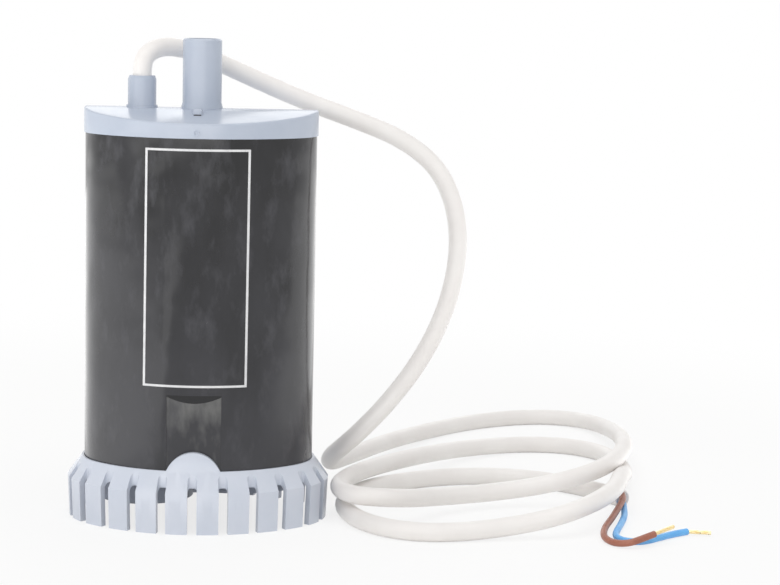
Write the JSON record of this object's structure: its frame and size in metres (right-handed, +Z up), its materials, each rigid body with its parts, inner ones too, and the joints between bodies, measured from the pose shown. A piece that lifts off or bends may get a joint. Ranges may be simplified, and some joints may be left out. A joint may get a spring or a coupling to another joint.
{
  "type": "submersible water pump",
  "caption": "Submersible water pump for a fresh-water tank: oval housing, slotted strainer foot, hose spigot on top and a loose two-core lead.",
  "frame": {"origin": "bottom centre of the strainer foot, on the floor the pump stands on", "axes": "+X along the long side of the oval, towards the side away from the cable stub; +Y to the back, away from the printed side; +Z up, along the hose spigot"},
  "size_m": [0.201, 0.1952, 0.1491],
  "materials": {
    "housing": "smooth moulded black, slightly scuffed",
    "pale": "smooth moulded pale blue-grey",
    "sheath": "soft warm white, satin",
    "brown_insulation": "soft brown, satin",
    "blue_insulation": "soft light blue, satin",
    "conductor": "bare twisted copper wire",
    "pump_plastic": "moulded black",
    "impeller_plastic": "moulded natural white",
    "capsule_plastic": "moulded grey",
    "seal_rubber": "black",
    "motor_steel": "drawn steel, zinc plated",
    "shaft_steel": "ground",
    "cap_plastic": "moulded white",
    "bronze": "sintered bronze",
    "ferrite": "dark sintered",
    "laminations": "stacked sheet",
    "enamel_wire": "enamelled copper",
    "copper": "copper",
    "carbon": "matt graphite",
    "tag_brass": "stamped",
    "capacitor_resin": "dipped resin"
  },
  "bodies": {
    "pump": {"brush_arms_left": "tag_brass", "brush_arms_right": "tag_brass", "brushes_left": "carbon", "brushes_right": "carbon", "capacitor_left": "capacitor_resin", "capacitor_right": "capacitor_resin", "capsule_lid": "capsule_plastic", "conductor_blue": "conductor", "conductor_brown": "conductor", "core_blue": "blue_insulation", "core_brown": "brown_insulation", "cover_seal": "seal_rubber", "inner_wire_blue": "blue_insulation", "inner_wire_brown": "brown_insulation", "intake_cover": "pump_plastic", "lead": "sheath", "lead_entry": "sheath", "lead_seal": "seal_rubber", "lower_bush_left": "bronze", "lower_bush_right": "bronze", "magnets_left": "ferrite", "magnets_right": "ferrite", "motor_can_left": "motor_steel", "motor_can_right": "motor_steel", "motor_capsule_left": "capsule_plastic", "motor_capsule_right": "capsule_plastic", "motor_end_cap_left": "cap_plastic", "motor_end_cap_right": "cap_plastic", "outer_housing": "housing", "pump_body": "pump_plastic", "shaft_seal_left": "seal_rubber", "shaft_seal_right": "seal_rubber", "stage_plate": "capsule_plastic", "top_cover": "pale", "transfer_cover": "pump_plastic", "upper_bush_left": "bronze", "upper_bush_right": "bronze"},
    "rotor_left": {"shaft_left": "shaft_steel", "armature_core_left": "laminations", "windings_left": "enamel_wire", "commutator_left": "copper", "impeller_left": "impeller_plastic"},
    "rotor_right": {"shaft_right": "shaft_steel", "armature_core_right": "laminations", "windings_right": "enamel_wire", "commutator_right": "copper", "impeller_right": "impeller_plastic"},
    "strainer": {"strainer_foot": "pale"}
  },
  "joints": [
    {"name": "rotor_left_spin", "type": "hinge", "parent": "pump", "child": "rotor_left", "pos_m": [-0.0166, 0, 0.05], "axis": [0, 0, 1], "continuous": true},
    {"name": "rotor_right_spin", "type": "hinge", "parent": "pump", "child": "rotor_right", "pos_m": [0.0166, 0, 0.05], "axis": [0, 0, 1], "continuous": true},
    {"name": "strainer_pull", "type": "slide", "parent": "pump", "child": "strainer", "axis": [0, 0, -1], "range_m": [0, 0.03]}
  ]
}
